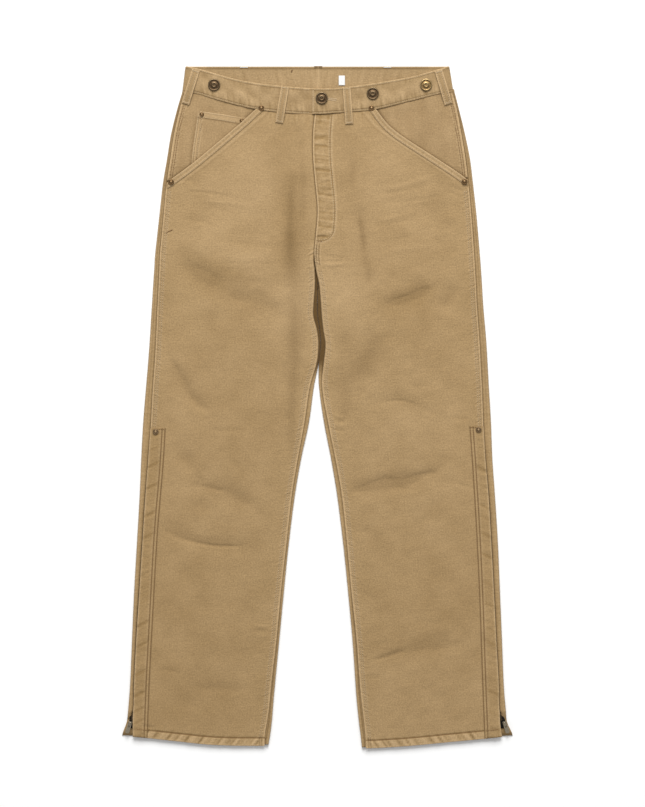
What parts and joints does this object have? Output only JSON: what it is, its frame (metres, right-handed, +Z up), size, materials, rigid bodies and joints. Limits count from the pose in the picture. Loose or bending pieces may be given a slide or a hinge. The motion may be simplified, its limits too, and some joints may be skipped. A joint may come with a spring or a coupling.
{
  "type": "work pants",
  "caption": "Men's canvas work pants laid flat, with slant pockets, a watch pocket, brace buttons, belt loops and zips at the ankles.",
  "frame": {"origin": "centre of the footprint, on the surface the pants lie on", "axes": "+Y from the hems to the waist, +X towards the wearer's left side, +Z up from the surface, out of the fronts"},
  "size_m": [0.6178, 1.0782, 0.0119],
  "materials": {
    "canvas": "washed tan duck canvas",
    "zip_tape": "black woven tape",
    "zip_metal": "antique brass",
    "button_dark": "dark antique brass",
    "button_bright": "worn bright brass",
    "rivet": "antique copper brass",
    "white_tab": "blank white woven tab"
  },
  "bodies": {
    "garment": {"front_right": "canvas", "back_right": "canvas", "waistband_right": "canvas", "hip_facing_right": "canvas", "pocket_edge_right": "canvas", "ankle_placket_right": "canvas", "zip_tape_right": "zip_tape", "zip_slider_right": "zip_metal", "front_left": "canvas", "back_left": "canvas", "waistband_left": "canvas", "hip_facing_left": "canvas", "pocket_edge_left": "canvas", "ankle_placket_left": "canvas", "zip_tape_left": "zip_tape", "zip_slider_left": "zip_metal", "watch_pocket": "canvas", "loop_side_right": "canvas", "loop_front_right": "canvas", "loop_front_left": "canvas", "loop_side_left": "canvas", "loop_back_right": "canvas", "loop_back_centre": "canvas", "loop_back_left": "canvas", "button_fly": "button_dark", "button_brace_right": "button_dark", "button_brace_left": "button_dark", "button_brace_side": "button_bright", "rivet_pocket_top_right": "rivet", "rivet_pocket_end_right": "rivet", "rivet_pocket_top_left": "rivet", "rivet_pocket_end_left": "rivet", "rivet_watch": "rivet", "rivet_placket_right": "rivet", "rivet_placket_left": "rivet", "size_tab": "white_tab"},
    "pull_right": {"zip_pull_right": "zip_metal"},
    "pull_left": {"zip_pull_left": "zip_metal"}
  },
  "joints": [
    {"name": "zip_pull_right_hinge", "type": "hinge", "parent": "garment", "child": "pull_right", "pos_m": [-0.2966, -0.5005, 0.0066], "axis": [-0.9511, 0.309, 0], "range_deg": [0, 150]},
    {"name": "zip_pull_left_hinge", "type": "hinge", "parent": "garment", "child": "pull_left", "pos_m": [0.2966, -0.5005, 0.0066], "axis": [-0.9511, -0.309, 0], "range_deg": [0, 150]}
  ]
}
